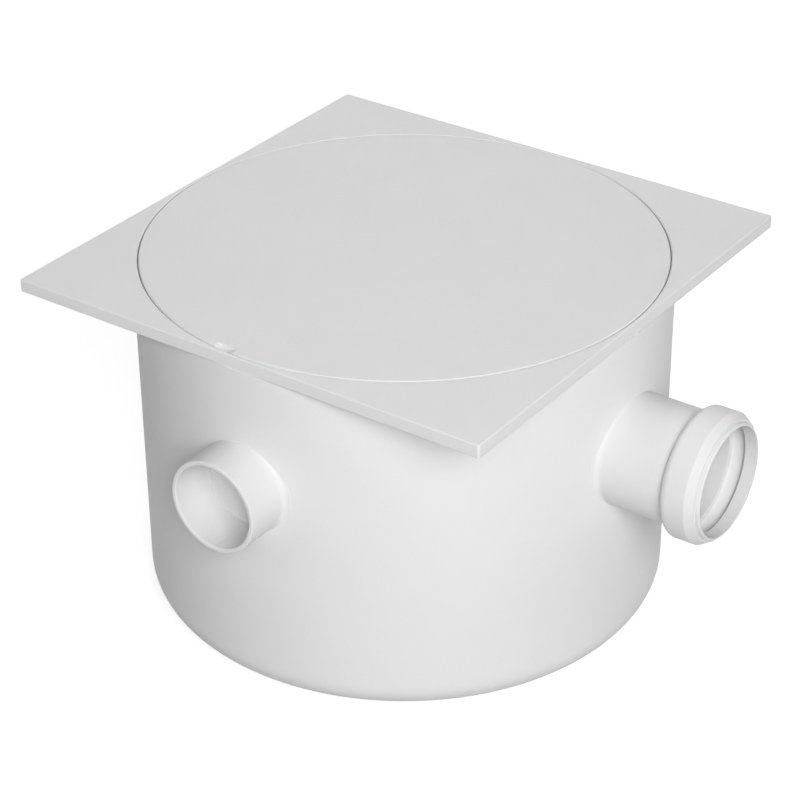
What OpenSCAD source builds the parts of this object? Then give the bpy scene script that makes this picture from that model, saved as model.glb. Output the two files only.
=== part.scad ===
// Floor gully trap in moulded PVC: a round bowl with three closed pipe inlets,
// one ring-seal outlet, a removable water-seal siphon inside, and a square
// frame on the rim that holds a flush round lid.
// Millimetres. The origin is on the bowl's axis at the underside of its base.
// +Z is up and +X runs along the outlet.

/* [Bowl] */
// Outside diameter of the bowl
body_od = 250; // [230:1:300]
// Height of the bowl's rim above the base
body_h = 167.2; // [155:0.2:220]
// Wall thickness of the bowl
wall = 3; // [2.4:0.1:4]
// Thickness of the base
base_t = 3; // [2.4:0.1:6]
// Outside radius of the rounded edge round the base
base_round = 14; // [8:0.5:20]
// Height of all pipe axes above the base
port_z = 108; // [98:0.5:112]
// Radius of the fillet where a pipe stub leaves the bowl
root_round = 3; // [1:0.1:4]

/* [Inlets] */
// Bore of an inlet socket, for a pipe of 40 mm
inlet_bore = 40.5; // [40.1:0.1:50]
// Wall of an inlet socket
inlet_wall = 2.25; // [1.8:0.05:3.5]
// Length that an inlet socket stands out from the bowl
inlet_len = 20.2; // [12:0.2:40]
// Skin that closes the inner end of an inlet until it is cut open
inlet_skin = 0.8; // [0.6:0.1:1.5]
// Width of the step that stops the pipe at the end of an inlet's bore
inlet_stop = 0.4; // [0.3:0.05:1]
// Distance from the skin to that step
inlet_stop_out = 0.5; // [0.3:0.1:3]
// Size of the bevel on both edges of an inlet's mouth
mouth_bevel = 0.4; // [0.2:0.1:0.8]

/* [Outlet] */
// Bore of the outlet socket, for a pipe of 50 mm (50.7 outside)
outlet_bore = 50.9; // [50.8:0.1:60]
// Wall of the outlet neck
neck_wall = 1.5; // [1.2:0.1:3]
// Length of the neck between the bowl and the bell
neck_len = 30.4; // [20:0.2:60]
// Outside diameter of the ring-seal bell
bell_od = 62; // [60:0.2:72]
// Length of the bell, lip included
bell_len = 18.7; // [16:0.1:30]
// Radius of the bell's rear shoulder
bell_round = 3.8; // [2:0.1:4.5]
// Length of the tapered nose in front of the bell
nose_len = 5.7; // [4:0.1:8]
// Depth of the ring groove below the socket's bore
groove_depth = 3.1; // [2:0.1:3.6]
// Width of the ring groove
groove_w = 7.4; // [5:0.1:9]
// Bore of the lip in front of the groove
lip_bore = 51.8; // [51.2:0.1:56]
// Length of the lip in front of the groove
lip_len = 6.4; // [5:0.1:8]
// Distance that the rim round the mouth stands out from the nose
rim_out = 2; // [1:0.1:3]
// Thickness of that rim
rim_t = 1.4; // [1:0.1:2]
// Size of the bevel on that rim
rim_bevel = 0.8; // [0.3:0.1:0.9]
// Width of the stop that the pipe's end meets
stop_step = 2.25; // [1.5:0.05:4]
// Distance from the bowl's wall to the stop
stop_out = 3; // [1:0.5:10]

/* [Siphon] */
// Outside diameter of the siphon's tube
siphon_od = 50; // [46:0.5:50]
// Wall of the siphon's tube
siphon_wall = 2.2; // [1.8:0.1:3]
// Amount by which the siphon's leg is slimmer than its run, in radius
leg_step = 0.6; // [0.4:0.1:1.5]
// Height of the siphon's mouth above the inside of the base
mouth_gap = 29; // [20:0.5:33]
// Height of the two collars that hold the siphon's ring
collar_h = 2.4; // [1.5:0.1:3]
// Width of each collar
collar_w = 2; // [1.5:0.1:3]
// Width of the ring seat between the collars
ring_seat_w = 3.8; // [3:0.1:5]
// Length of the siphon's tip in front of the collars
tip_len = 2; // [1:0.1:4]
// Wall of the socket that takes the siphon
siphon_socket_wall = 2.2; // [1.8:0.1:3]
// Depth of that socket
siphon_socket_len = 20; // [16:0.5:26]
// Gap between that socket's mouth and the siphon's leg
leg_gap = 7.5; // [3:0.5:15]
// Depth of the clean-out socket on the siphon
cleanout_len = 12; // [10:0.5:20]

/* [Clean-out plug] */
// Thickness of the plug's flange
plug_flange_t = 2.5; // [2:0.1:4]
// Length of the plug inside its socket
plug_len = 9.5; // [8:0.1:9.8]
// Wall and floor of the plug
plug_wall = 2.4; // [1.8:0.1:3]
// Depth of the plug's ring groove
plug_groove_depth = 1.8; // [1.4:0.1:2.2]
// Width of the plug's ring groove
plug_groove_w = 3; // [2.6:0.1:4]
// Length of the plug's grip across the plug
grip_w = 34; // [26:0.5:38]
// Thickness of the grip
grip_t = 3.2; // [2.4:0.1:5]
// Height that the grip stands out from the flange
grip_out = 8; // [5:0.5:14]
// Radius of the grip's two outer corners
grip_round = 6; // [2:0.5:10]

/* [Frame] */
// Thickness of the square frame at its edge
frame_h = 6; // [5.5:0.1:12]
// Distance that the frame's sides stand inside the bowl's outside
frame_inset = 0.65; // [0.2:0.05:2]
// Width of the frame's rim where it is narrowest
frame_rim = 1.65; // [1.2:0.05:6]
// Thickness of the frame's top skin
frame_skin = 2.6; // [2:0.1:4]
// Thickness of the frame's outer skirt
frame_skirt = 2; // [1.6:0.1:3]
// Thickness of the frame's ring round the lid's recess
frame_ring_t = 1.9; // [1.4:0.1:3]
// Radius of the frame's corners, seen from above
corner_round = 1; // [1:0.1:6]
// Size of the small bevel on the frame's and the lid's top edges
edge_bevel = 0.5; // [0.2:0.05:0.9]
// Thickness of the ledge that carries the lid
seat_t = 2.2; // [1.8:0.1:2.8]
// Width of the ledge that carries the lid
seat_w = 6.2; // [5.5:0.1:10]
// Thickness of the frame's collar inside the bowl
frame_collar_t = 2.5; // [1.8:0.1:3.2]
// Depth of the frame's collar inside the bowl
frame_collar_h = 16; // [8:0.5:20]
// Thickness of the ribs under the frame and the lid
rib_t = 1.6; // [1.2:0.1:2.5]
// Angle between two ribs in a corner of the frame
rib_angle = 11; // [6:0.5:13]

/* [Lid] */
// Thickness of the lid's top skin
lid_skin = 2.8; // [2:0.1:3.5]
// Width of the lid's down-turned edge
lid_edge_w = 2.4; // [1.8:0.1:4]
// Depth of the lid's locating ring below its seat
locate_h = 6; // [4:0.5:9]
// Thickness of the locating ring
locate_t = 2; // [1.6:0.1:3]
// Number of spokes under the lid
spokes = 12; // [6:1:18]
// Depth of the spokes
spoke_h = 6; // [3:0.5:10]
// Radius of the middle ring under the lid
mid_ring_r = 58; // [30:1:90]
// Radius of the hub under the lid
hub_r = 12; // [6:0.5:25]
// Width of the finger scoop in the lid's edge
scoop_w = 10.8; // [8:0.2:20]
// Depth of the finger scoop
scoop_depth = 2; // [1:0.1:2.4]
// Length of the finger scoop towards the middle
scoop_in = 4.1; // [3:0.1:5]
// Offset of the scoop from the frame's mid-side
scoop_x = -9.2; // [-20:0.2:20]
// Width by which the solid pad under the scoop is wider on each side
scoop_pad = 1.5; // [1:0.1:4]

/* [Fits] */
// Gap all round the lid in its recess
lid_gap = 0.55; // [0.3:0.05:1]
// Gap between the lid's locating ring and the ledge
locate_gap = 0.4; // [0.3:0.05:1]
// Gap between the frame's collar and the bowl
frame_gap = 0.3; // [0.2:0.05:1]
// Gap round the siphon's collars in their socket
siphon_gap = 0.3; // [0.2:0.05:0.6]
// Gap round the plug in its socket
plug_gap = 0.3; // [0.2:0.05:0.6]
// Gap on each side of a seated rubber ring
ring_gap = 0.05; // [0.02:0.01:0.1]
// Amount by which a seated ring is narrower than its seat
ring_slack = 0.4; // [0.2:0.05:0.8]
// Gap behind the plug's inner end
plug_end_gap = 0.5; // [0.3:0.1:1.5]

/* [Hidden] */
$fn = 96;

INLET_ANGLES = [90, 180, 270];
CUT = 1;              // overrun of a cut past the face that it opens
PLASTIC = [0.93, 0.93, 0.92];
RUBBER = [0.12, 0.12, 0.12];

// Bowl
body_r = body_od / 2;
inner_r = body_r - wall;
inner_round = base_round - wall;

// Inlets
inlet_r = inlet_bore / 2;
inlet_mouth = body_r + inlet_len;
inlet_skin_r = inner_r + inlet_skin;
inlet_stop_x = inlet_skin_r + inlet_stop_out;

// Outlet, all radii about the outlet's axis and all x from the bowl's axis
outlet_r = outlet_bore / 2;
neck_r = outlet_r + neck_wall;
bell_x = body_r + neck_len;
mouth_x = bell_x + bell_len;
nose_x = mouth_x - nose_len;
stop_x = body_r + stop_out;
stop_r = outlet_r - stop_step;
root_lift = 0.4;      // height of a root fillet's foot above the bowl's surface beside the stub
lip_r = lip_bore / 2;
groove_r = outlet_r + groove_depth;
groove_x = mouth_x - lip_len - groove_w;

// Siphon
siphon_r = siphon_od / 2;
siphon_bore_r = siphon_r - siphon_wall;
collar_r = siphon_r + collar_h;
socket_r = collar_r + siphon_gap;
socket_out_r = socket_r + siphon_socket_wall;
// The shoulder leaves one wall thickness outside the socket's corner
shoulder_x = sqrt(pow(body_r, 2) - pow(socket_r, 2)) - wall;
socket_mouth_x = shoulder_x - siphon_socket_len;
leg_x = socket_mouth_x - leg_gap - siphon_r;
mouth_z = base_t + mouth_gap;
seal_x = shoulder_x - tip_len - collar_w - ring_seat_w / 2;
leg_r = siphon_r - leg_step;
cleanout_r = siphon_r;
cleanout_x = leg_x - siphon_r - cleanout_len;
cleanout_out_r = cleanout_r + siphon_wall;
cleanout_step_x = cleanout_x + plug_len + plug_end_gap;

// Plug
plug_r = cleanout_r - plug_gap;
plug_seal_x = cleanout_x + plug_len / 2;

// Frame
frame_z = body_h;
top_z = frame_z + frame_h;
seat_z = frame_z + seat_t;
frame_half = body_r - frame_inset;
recess_r = frame_half - frame_rim;
throat_r = recess_r - seat_w;
collar_out_r = inner_r - frame_gap;

// Lid
lid_r = recess_r - lid_gap;
locate_r = throat_r - locate_gap;

// Puts a shape that was turned about Z onto a pipe axis that points outwards
module on_port(angle = 0) {
    rotate([0, 0, angle]) translate([0, 0, port_z]) rotate([0, 90, 0]) children();
}

// Plain cylinder along a pipe axis, from x0 to x1
module pipe(r, x0, x1) {
    translate([0, 0, x0]) cylinder(r = r, h = x1 - x0);
}

// Solid of revolution with a flat bottom and a rounded lower edge
module round_bottomed(r, z0, z1, edge) {
    rotate_extrude() {
        translate([0, z0]) square([r - edge, edge]);
        translate([0, z0 + edge]) square([r, z1 - z0 - edge]);
        intersection() {
            translate([r - edge, z0 + edge]) circle(edge);
            translate([0, z0]) square([r, z1 - z0]);
        }
    }
}

// Rubber ring with a flattened round section, turned about Z and centred on z = 0
module flat_ring(inner, outer, width) {
    r = (outer - inner) / 2;
    spread = width / 2 - r;
    rotate_extrude() {
        for (side = [-1, 1]) translate([inner + r, side * spread]) circle(r, $fn = 32);
        translate([inner, -spread]) square([2 * r, 2 * spread]);
    }
}

// Outside of the outlet: neck, bell with a rounded shoulder, and tapered nose
module outlet_outside() {
    bell_r = bell_od / 2;
    rotate_extrude() {
        square([neck_r, bell_x + bell_round]);
        intersection() {
            translate([bell_r - bell_round, bell_x + bell_round]) circle(bell_round);
            translate([0, bell_x]) square([bell_r, bell_round]);
        }
        translate([0, bell_x]) square([bell_r - bell_round, bell_round]);
        translate([0, bell_x + bell_round]) square([bell_r, nose_x - bell_x - bell_round]);
        polygon([[0, nose_x - CUT], [bell_r, nose_x - CUT], [bell_r, nose_x],
                 [groove_r, mouth_x - rim_out], [lip_r + rim_t, mouth_x - rim_out],
                 [lip_r + rim_t, mouth_x - rim_bevel], [lip_r + rim_t - rim_bevel, mouth_x],
                 [0, mouth_x]]);
    }
}

// Everything that the outlet's passage removes, from the siphon's socket to the mouth
module outlet_passage() {
    pipe(socket_r, socket_mouth_x - CUT, shoulder_x);
    pipe(stop_r, shoulder_x - CUT, stop_x + CUT);
    pipe(outlet_r, stop_x, groove_x + CUT);
    pipe(groove_r, groove_x, groove_x + groove_w);
    pipe(lip_r, groove_x, mouth_x + CUT);
}

// Fillet at a stub's root. Beside the stub its foot lies just above the bowl's surface, and a steep
// skirt below the foot runs into the wall all round.
module root_fillet(stub_r) {
    foot_r = stub_r + root_round;
    drop = body_r - sqrt(pow(body_r, 2) - pow(foot_r, 2));
    foot_x = body_r - drop + root_lift;
    rotate_extrude() difference() {
        polygon([[0, foot_x - drop], [foot_r + drop / 2, foot_x - drop], [foot_r, foot_x],
                 [foot_r, foot_x + root_round], [0, foot_x + root_round]]);
        translate([foot_r, foot_x + root_round]) circle(root_round);
    }
}

module inlet_outside() {
    outside = inlet_r + inlet_wall;
    pipe(outside, inner_r - wall, inlet_mouth - mouth_bevel);
    translate([0, 0, inlet_mouth - mouth_bevel])
        cylinder(r1 = outside, r2 = outside - mouth_bevel, h = mouth_bevel);
    root_fillet(outside);
}

// Blind bore of an inlet: behind the pipe's stop its end follows the bowl, so the skin is even
module inlet_bore_cut(angle) {
    on_port(angle) {
        pipe(inlet_r, inlet_stop_x, inlet_mouth + CUT);
        translate([0, 0, inlet_mouth - mouth_bevel])
            cylinder(r1 = inlet_r, r2 = inlet_r + 2 * mouth_bevel, h = 2 * mouth_bevel);
    }
    difference() {
        on_port(angle) pipe(inlet_r - inlet_stop, inner_r - wall, inlet_stop_x + CUT);
        cylinder(r = inlet_skin_r, h = body_h);
    }
}

module body() {
    color(PLASTIC) difference() {
        union() {
            difference() {
                union() {
                    round_bottomed(body_r, 0, body_h, base_round);
                    for (a = INLET_ANGLES) on_port(a) inlet_outside();
                    on_port() root_fillet(neck_r);
                    intersection() {
                        on_port() outlet_outside();
                        translate([inner_r - 2 * wall, -body_r, 0]) cube([body_od, body_od, body_h]);
                    }
                }
                round_bottomed(inner_r, base_t, body_h + CUT, inner_round);
            }
            intersection() {
                on_port() pipe(socket_out_r, socket_mouth_x, body_r);
                cylinder(r = body_r - wall / 2, h = body_h);
            }
        }
        for (a = INLET_ANGLES) inlet_bore_cut(a);
        on_port() outlet_passage();
    }
}

// Square plate with round corners and a bevelled top edge
module frame_block() {
    hull() for (sx = [-1, 1], sy = [-1, 1])
        translate([sx * (frame_half - corner_round), sy * (frame_half - corner_round), frame_z]) {
            cylinder(r = corner_round, h = frame_h - edge_bevel, $fn = 32);
            cylinder(r = corner_round - edge_bevel, h = frame_h, $fn = 32);
        }
}

// Ribs that run from the ring out into the frame's corners
module corner_ribs() {
    for (corner = [45:90:315], side = [-1:1])
        rotate([0, 0, corner + side * rib_angle])
            translate([recess_r, -rib_t / 2, frame_z + rib_t / 2]) cube([frame_half, rib_t, frame_h]);
}

// Hollows under the four corners of the frame
module corner_hollows() {
    inside = 2 * (frame_half - frame_skirt);
    difference() {
        translate([-inside / 2, -inside / 2, frame_z - CUT])
            cube([inside, inside, frame_h - frame_skin + CUT]);
        translate([0, 0, frame_z - 2 * CUT]) cylinder(r = recess_r + frame_ring_t, h = frame_h);
        corner_ribs();
    }
}

module frame() {
    color(PLASTIC) difference() {
        union() {
            difference() {
                frame_block();
                corner_hollows();
            }
            translate([0, 0, frame_z - frame_collar_h]) cylinder(r = collar_out_r, h = frame_collar_h + CUT);
        }
        translate([0, 0, seat_z]) cylinder(r = recess_r, h = frame_h);
        translate([0, 0, top_z - edge_bevel])
            cylinder(r1 = recess_r, r2 = recess_r + 2 * edge_bevel, h = 2 * edge_bevel);
        translate([0, 0, frame_z - CUT]) cylinder(r = throat_r, h = frame_h);
        translate([0, 0, frame_z - frame_collar_h - CUT])
            cylinder(r = collar_out_r - frame_collar_t, h = frame_collar_h + CUT);
    }
}

// Spokes, hub and middle ring under the lid
module lid_ribs() {
    spoke_z = top_z - lid_skin - spoke_h;
    for (i = [0:spokes - 1]) rotate([0, 0, 360 * i / spokes])
        translate([0, -rib_t / 2, spoke_z]) cube([locate_r - locate_t / 2, rib_t, spoke_h + CUT]);
    translate([0, 0, spoke_z]) cylinder(r = hub_r, h = spoke_h + CUT);
    translate([0, 0, spoke_z]) difference() {
        cylinder(r = mid_ring_r + rib_t, h = spoke_h + CUT);
        translate([0, 0, -CUT]) cylinder(r = mid_ring_r, h = spoke_h + 3 * CUT);
    }
}

// Finger scoop: a round-bottomed cut that runs in from the lid's edge
module scoop_cut() {
    r = (pow(scoop_w / 2, 2) + pow(scoop_depth, 2)) / (2 * scoop_depth);
    translate([scoop_x, scoop_in - lid_r, top_z - scoop_depth + r])
        rotate([90, 0, 0]) cylinder(r = r, h = 2 * scoop_in);
}

module lid() {
    pad_w = scoop_w + 2 * scoop_pad;
    color(PLASTIC) difference() {
        union() {
            translate([0, 0, top_z - edge_bevel])
                cylinder(r1 = lid_r, r2 = lid_r - edge_bevel, h = edge_bevel);
            translate([0, 0, top_z - lid_skin]) cylinder(r = lid_r, h = lid_skin - edge_bevel);
            translate([0, 0, seat_z]) difference() {
                cylinder(r = lid_r, h = top_z - seat_z - lid_skin);
                translate([0, 0, -CUT]) cylinder(r = lid_r - lid_edge_w, h = top_z - seat_z);
            }
            intersection() {
                translate([scoop_x - pad_w / 2, -lid_r, seat_z])
                    cube([pad_w, lid_r - locate_r + locate_t, top_z - seat_z - lid_skin / 2]);
                cylinder(r = lid_r - lid_edge_w / 2, h = top_z);
            }
            translate([0, 0, seat_z - locate_h]) difference() {
                cylinder(r = locate_r, h = top_z - seat_z + locate_h - lid_skin / 2);
                translate([0, 0, -CUT]) cylinder(r = locate_r - locate_t, h = frame_h + locate_h + CUT);
            }
            lid_ribs();
        }
        scoop_cut();
    }
}

module siphon_elbow() {
    color(PLASTIC) difference() {
        union() {
            on_port() {
                pipe(siphon_r, cleanout_x, shoulder_x);
                pipe(cleanout_out_r, cleanout_x, cleanout_x + cleanout_len);
                for (side = [-1, 1])
                    pipe(collar_r, seal_x + side * (ring_seat_w + collar_w) / 2 - collar_w / 2,
                         seal_x + side * (ring_seat_w + collar_w) / 2 + collar_w / 2);
            }
            translate([leg_x, 0, mouth_z]) cylinder(r = leg_r, h = port_z - mouth_z);
        }
        on_port() {
            pipe(siphon_bore_r, cleanout_x - CUT, shoulder_x + CUT);
            pipe(cleanout_r, cleanout_x - CUT, cleanout_step_x);
        }
        translate([leg_x, 0, mouth_z - CUT])
            cylinder(r = leg_r - siphon_wall, h = port_z - mouth_z + CUT);
    }
}

module siphon_seal() {
    color(RUBBER) on_port() translate([0, 0, seal_x])
        flat_ring(siphon_r + ring_gap, socket_r - ring_gap, ring_seat_w - ring_slack);
}

// Flat grip with a round outer end, drawn in the plane of the pipe axis
module plug_grip() {
    out_x = cleanout_x - plug_flange_t - grip_out;
    rotate([90, 0, 0]) translate([0, port_z, -grip_t / 2]) linear_extrude(grip_t) {
        translate([out_x + grip_round, -grip_w / 2])
            square([cleanout_x + plug_len - plug_wall / 2 - out_x - grip_round, grip_w]);
        translate([out_x, -grip_w / 2 + grip_round]) square([grip_round + CUT, grip_w - 2 * grip_round]);
        for (side = [-1, 1])
            translate([out_x + grip_round, side * (grip_w / 2 - grip_round)]) circle(grip_round);
    }
}

module cleanout_plug() {
    color(PLASTIC) difference() {
        union() {
            difference() {
                on_port() {
                    pipe(plug_r, cleanout_x - CUT, cleanout_x + plug_len);
                    pipe(cleanout_out_r, cleanout_x - plug_flange_t, cleanout_x);
                }
                on_port() pipe(plug_r - plug_groove_depth - plug_wall,
                               cleanout_x - plug_flange_t - CUT, cleanout_x + plug_len - plug_wall);
            }
            plug_grip();
        }
        on_port() translate([0, 0, plug_seal_x]) difference() {
            translate([0, 0, -plug_groove_w / 2]) cylinder(r = plug_r + CUT, h = plug_groove_w);
            translate([0, 0, -plug_groove_w]) cylinder(r = plug_r - plug_groove_depth, h = 2 * plug_groove_w);
        }
    }
}

module plug_seal() {
    color(RUBBER) on_port() translate([0, 0, plug_seal_x])
        flat_ring(plug_r - plug_groove_depth + ring_gap, cleanout_r - ring_gap, plug_groove_w - ring_slack);
}

body();
frame();
lid();
siphon_elbow();
siphon_seal();
cleanout_plug();
plug_seal();
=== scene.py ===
import math
import bpy
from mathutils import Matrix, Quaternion, Vector

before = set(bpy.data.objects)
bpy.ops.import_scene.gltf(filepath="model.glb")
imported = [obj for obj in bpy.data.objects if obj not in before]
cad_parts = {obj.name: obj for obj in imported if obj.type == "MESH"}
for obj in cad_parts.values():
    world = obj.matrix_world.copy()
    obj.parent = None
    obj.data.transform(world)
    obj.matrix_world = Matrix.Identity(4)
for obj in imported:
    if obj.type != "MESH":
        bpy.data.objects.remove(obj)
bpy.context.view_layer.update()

# ---------------------------------------------------------------- camera
# Angles in degrees, lengths in metres, lens and sensor in millimetres
VIEW_TARGET = Vector((0.0, 0.0, 0.09865))
VIEW_AZIMUTH = 35.403
VIEW_ELEVATION = 30.672
VIEW_ROLL = -0.383
VIEW_DISTANCE = 1.16547
VIEW_LENS = 110.156
VIEW_SHIFT_X = -0.00655
VIEW_SHIFT_Y = -0.01794
SENSOR_WIDTH = 36.0
CLIP_NEAR = 0.05
CLIP_FAR = 50.0


def add_camera():
    data = bpy.data.cameras.new("camera")
    data.sensor_width = SENSOR_WIDTH
    data.lens = VIEW_LENS
    data.shift_x = VIEW_SHIFT_X
    data.shift_y = VIEW_SHIFT_Y
    data.clip_start = CLIP_NEAR
    data.clip_end = CLIP_FAR
    camera = bpy.data.objects.new("camera", data)
    bpy.context.scene.collection.objects.link(camera)
    turn = math.radians(VIEW_AZIMUTH)
    rise = math.radians(VIEW_ELEVATION)
    level = math.cos(rise)
    back = Vector((math.sin(turn) * level, -math.cos(turn) * level, math.sin(rise)))
    camera.location = VIEW_TARGET + back * VIEW_DISTANCE
    camera.rotation_mode = "QUATERNION"
    roll = Quaternion((0.0, 0.0, 1.0), math.radians(VIEW_ROLL))
    camera.rotation_quaternion = (-back).to_track_quat("-Z", "Y") @ roll
    bpy.context.scene.camera = camera


# ---------------------------------------------------------------- node helpers
# The band of a noise's value that spread() stretches
NOISE_LOW = 0.3
NOISE_HIGH = 0.7


def grey(level):
    return (level, level, level, 1.0)


class Graph:
    """The node tree of a material or world, with short calls to add and join nodes."""

    def __init__(self, owner):
        owner.use_nodes = True
        self.tree = owner.node_tree
        self.tree.nodes.clear()

    def add(self, kind, **settings):
        node = self.tree.nodes.new(kind)
        for key, value in settings.items():
            setattr(node, key, value)
        return node

    def join(self, source, target):
        self.tree.links.new(source, target)

    def noise(self, place, scale, detail, roughness=0.5):
        node = self.add("ShaderNodeTexNoise")
        node.inputs["Scale"].default_value = scale
        node.inputs["Detail"].default_value = detail
        node.inputs["Roughness"].default_value = roughness
        self.join(place, node.inputs["Vector"])
        return node.outputs["Fac"]

    def spread(self, source, low, high, start=NOISE_LOW, end=NOISE_HIGH):
        """Maps start to low and end to high, and holds the value beyond them."""
        node = self.add("ShaderNodeMapRange")
        node.inputs["From Min"].default_value = start
        node.inputs["From Max"].default_value = end
        node.inputs["To Min"].default_value = low
        node.inputs["To Max"].default_value = high
        self.join(source, node.inputs["Value"])
        return node.outputs["Result"]

    def tint(self, factor, dark, light):
        node = self.add("ShaderNodeMix", data_type="RGBA")
        node.inputs["A"].default_value = dark
        node.inputs["B"].default_value = light
        self.join(factor, node.inputs["Factor"])
        return node.outputs["Result"]

    def bump(self, height, distance, strength, normal=None):
        node = self.add("ShaderNodeBump")
        node.inputs["Distance"].default_value = distance
        node.inputs["Strength"].default_value = strength
        self.join(height, node.inputs["Height"])
        if normal is not None:
            self.join(normal, node.inputs["Normal"])
        return node.outputs["Normal"]

    def mix(self, factor, first, second):
        node = self.add("ShaderNodeMixShader")
        self.join(factor, node.inputs[0])
        self.join(first.outputs[0], node.inputs[1])
        self.join(second.outputs[0], node.inputs[2])
        return node

    def finish(self, shader, kind="ShaderNodeOutputMaterial"):
        out = self.add(kind)
        self.join(shader.outputs[0], out.inputs["Surface"])


# ---------------------------------------------------------------- materials
# Noise scales are per metre. Heights and radii are in metres.
PVC_LIGHT = grey(0.80)
PVC_DARK = grey(0.785)
PVC_IOR = 1.5
PVC_SPECULAR = 0.3
PVC_GLOSS_SPREAD = 0.05
CLOUD_SCALE = 18.0
CLOUD_DETAIL = 2.0
PEEL_SCALE = 160.0
PEEL_DETAIL = 1.0
PEEL_HEIGHT = 0.00001
PEEL_STRENGTH = 0.2
GRAIN_DETAIL = 2.0
GRAIN_HEIGHT = 0.00001
GRAIN_STRENGTH = 0.5
FINE_ROUGHNESS = 0.6
EDGE_SAMPLES = 8
RUBBER_DARK = (0.018, 0.018, 0.019, 1.0)
RUBBER_LIGHT = (0.034, 0.034, 0.035, 1.0)
RUBBER_SCALE = 900.0
RUBBER_DETAIL = 3.0
RUBBER_GLOSS = (0.5, 0.7)
RUBBER_HEIGHT = 0.00005

# Each moulding: name, its nodes, roughness, scale of the grain, radius of the softened edges
MOULDINGS = (
    ("bowl_moulding", ("body",), 0.50, 1400.0, 0.0006),
    ("frame_moulding", ("frame",), 0.50, 2200.0, 0.0005),
    ("lid_moulding", ("lid",), 0.50, 2200.0, 0.0004),
    ("siphon_moulding", ("siphon_elbow", "cleanout_plug"), 0.42, 1400.0, 0.0004),
)
RINGS = ("siphon_seal", "plug_seal")


def pvc(name, rough, grain_scale, edge):
    """Moulded PVC: cloudy tint, uneven gloss, a fine grain and softly rounded edges."""
    material = bpy.data.materials.new(name)
    g = Graph(material)
    place = g.add("ShaderNodeTexCoord").outputs["Object"]
    bevel = g.add("ShaderNodeBevel", samples=EDGE_SAMPLES)
    bevel.inputs["Radius"].default_value = edge
    cloud = g.noise(place, CLOUD_SCALE, CLOUD_DETAIL)
    grain = g.noise(place, grain_scale, GRAIN_DETAIL, FINE_ROUGHNESS)
    peel = g.noise(place, PEEL_SCALE, PEEL_DETAIL)
    shader = g.add("ShaderNodeBsdfPrincipled")
    colour = g.tint(g.spread(cloud, 0.0, 1.0), PVC_DARK, PVC_LIGHT)
    gloss = g.spread(peel, rough - PVC_GLOSS_SPREAD, rough + PVC_GLOSS_SPREAD)
    waves = g.bump(peel, PEEL_HEIGHT, PEEL_STRENGTH, bevel.outputs["Normal"])
    g.join(colour, shader.inputs["Base Color"])
    g.join(gloss, shader.inputs["Roughness"])
    g.join(g.bump(grain, GRAIN_HEIGHT, GRAIN_STRENGTH, waves), shader.inputs["Normal"])
    shader.inputs["IOR"].default_value = PVC_IOR
    shader.inputs["Specular IOR Level"].default_value = PVC_SPECULAR
    g.finish(shader)
    return material


def rubber(name):
    """Black ring rubber with a fine grain."""
    material = bpy.data.materials.new(name)
    g = Graph(material)
    place = g.add("ShaderNodeTexCoord").outputs["Object"]
    grain = g.noise(place, RUBBER_SCALE, RUBBER_DETAIL, FINE_ROUGHNESS)
    shader = g.add("ShaderNodeBsdfPrincipled")
    g.join(g.tint(grain, RUBBER_DARK, RUBBER_LIGHT), shader.inputs["Base Color"])
    g.join(g.spread(grain, *RUBBER_GLOSS), shader.inputs["Roughness"])
    g.join(g.bump(grain, RUBBER_HEIGHT, GRAIN_STRENGTH), shader.inputs["Normal"])
    g.finish(shader)
    return material


def dress(nodes, material):
    for node in nodes:
        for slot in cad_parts[node].material_slots:
            slot.material = material


def dress_all():
    for name, nodes, rough, grain_scale, edge in MOULDINGS:
        dress(nodes, pvc(name, rough, grain_scale, edge))
    dress(RINGS, rubber("ring_rubber"))


# ---------------------------------------------------------------- floor and world
# The softboxes alone light the object, so the world gives no light
WORLD_LIGHT = 0.0
WORLD_SEEN = 1.0
FLOOR_HALF = 6.0
FLOOR_LEVEL = -0.0002
FLOOR_GREY = 0.45
# The floor's glow, which makes it look white, grows from the object outwards as the lamps fade
GLOW_NEAR = 0.75
GLOW_FAR = 1.0
GLOW_START = 0.6
GLOW_END = 2.5


def seen_directly(g):
    """1 for camera, glossy and transmission rays, 0 for the rays that light the object."""
    path = g.add("ShaderNodeLightPath")
    first = g.add("ShaderNodeMath", operation="MAXIMUM")
    both = g.add("ShaderNodeMath", operation="MAXIMUM")
    g.join(path.outputs["Is Camera Ray"], first.inputs[0])
    g.join(path.outputs["Is Glossy Ray"], first.inputs[1])
    g.join(first.outputs[0], both.inputs[0])
    g.join(path.outputs["Is Transmission Ray"], both.inputs[1])
    return both.outputs[0]


def backdrop(g, strength):
    node = g.add("ShaderNodeBackground")
    node.inputs["Color"].default_value = grey(1.0)
    node.inputs["Strength"].default_value = strength
    return node


def add_world():
    world = bpy.data.worlds.new("studio")
    bpy.context.scene.world = world
    g = Graph(world)
    lit = backdrop(g, WORLD_LIGHT)
    seen = backdrop(g, WORLD_SEEN)
    g.finish(g.mix(seen_directly(g), lit, seen), "ShaderNodeOutputWorld")


def floor_glow(g):
    place = g.add("ShaderNodeTexCoord").outputs["Object"]
    reach = g.add("ShaderNodeVectorMath", operation="LENGTH")
    g.join(place, reach.inputs[0])
    return g.spread(reach.outputs["Value"], GLOW_NEAR, GLOW_FAR, GLOW_START, GLOW_END)


def floor_material():
    material = bpy.data.materials.new("floor_white")
    g = Graph(material)
    plain = g.add("ShaderNodeBsdfDiffuse")
    plain.inputs["Color"].default_value = grey(FLOOR_GREY)
    light = g.add("ShaderNodeEmission")
    g.join(floor_glow(g), light.inputs["Strength"])
    bright = g.add("ShaderNodeAddShader")
    g.join(plain.outputs[0], bright.inputs[0])
    g.join(light.outputs[0], bright.inputs[1])
    g.finish(g.mix(seen_directly(g), plain, bright))
    return material


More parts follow.
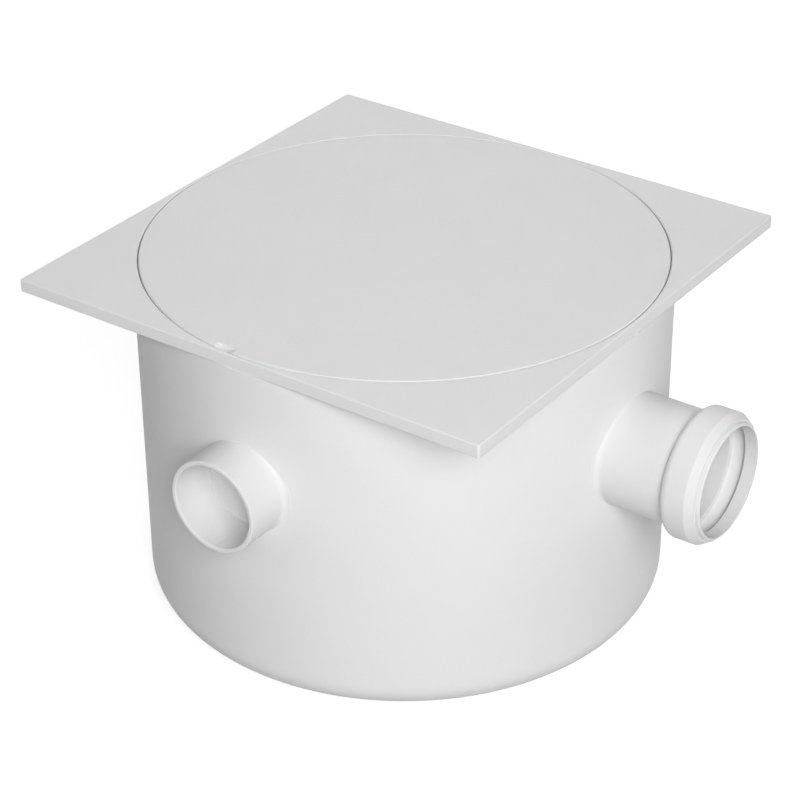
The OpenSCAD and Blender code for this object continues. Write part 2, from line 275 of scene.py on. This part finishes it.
def add_floor():
    mesh = bpy.data.meshes.new("floor")
    ways = ((-1, -1), (1, -1), (1, 1), (-1, 1))
    corners = [(x * FLOOR_HALF, y * FLOOR_HALF, FLOOR_LEVEL) for x, y in ways]
    mesh.from_pydata(corners, [], [(0, 1, 2, 3)])
    floor = bpy.data.objects.new("floor", mesh)
    bpy.context.scene.collection.objects.link(floor)
    mesh.materials.append(floor_material())


# ---------------------------------------------------------------- lamps
# Each softbox: name, azimuth from +X and elevation in degrees, power in watts
SOFTBOXES = (
    ("key", -40.04, 30.0, 20.2),
    ("key_low", -40.04, 18.0, 4.84),
    ("fill", -55.04, 30.0, 8.68),
    ("back_high", 124.96, 55.0, 6.3),
    ("behind", 124.96, 10.0, 11.0),
    ("back_low", 124.96, 30.0, 2.3),
    ("right_rim", 44.96, 30.0, 3.56),
    ("right_high", 4.96, 55.0, 1.38),
    ("left", -115.04, 30.0, 3.2),
    ("left_high", -155.04, 55.0, 2.68),
    ("top", -55.04, 89.0, 0.84),
)
SOFTBOX_SIZE = 0.8
SOFTBOX_DISTANCE = 2.0
SOFTBOX_AIM = Vector((0.0, 0.0, 0.08))
SOFTBOX_LOWEST = 0.45
# Left out of reflections: seen from the far side, the lid would mirror them as glare
NO_GLARE = ("key", "key_low", "fill", "behind")


def add_softbox(name, azimuth, elevation, power):
    data = bpy.data.lights.new(name, "AREA")
    data.shape = "SQUARE"
    data.size = SOFTBOX_SIZE
    data.energy = power
    lamp = bpy.data.objects.new(name, data)
    lamp.visible_glossy = name not in NO_GLARE
    bpy.context.scene.collection.objects.link(lamp)
    turn = math.radians(azimuth)
    rise = math.radians(elevation)
    level = math.cos(rise)
    way = Vector((math.cos(turn) * level, math.sin(turn) * level, math.sin(rise)))
    lamp.location = SOFTBOX_AIM + way * SOFTBOX_DISTANCE
    lamp.location.z = max(lamp.location.z, SOFTBOX_LOWEST)
    lamp.rotation_mode = "QUATERNION"
    lamp.rotation_quaternion = (SOFTBOX_AIM - lamp.location).to_track_quat("-Z", "Y")


bpy.context.scene.view_settings.view_transform = "Standard"
add_camera()
dress_all()
add_world()
add_floor()
for softbox in SOFTBOXES:
    add_softbox(*softbox)
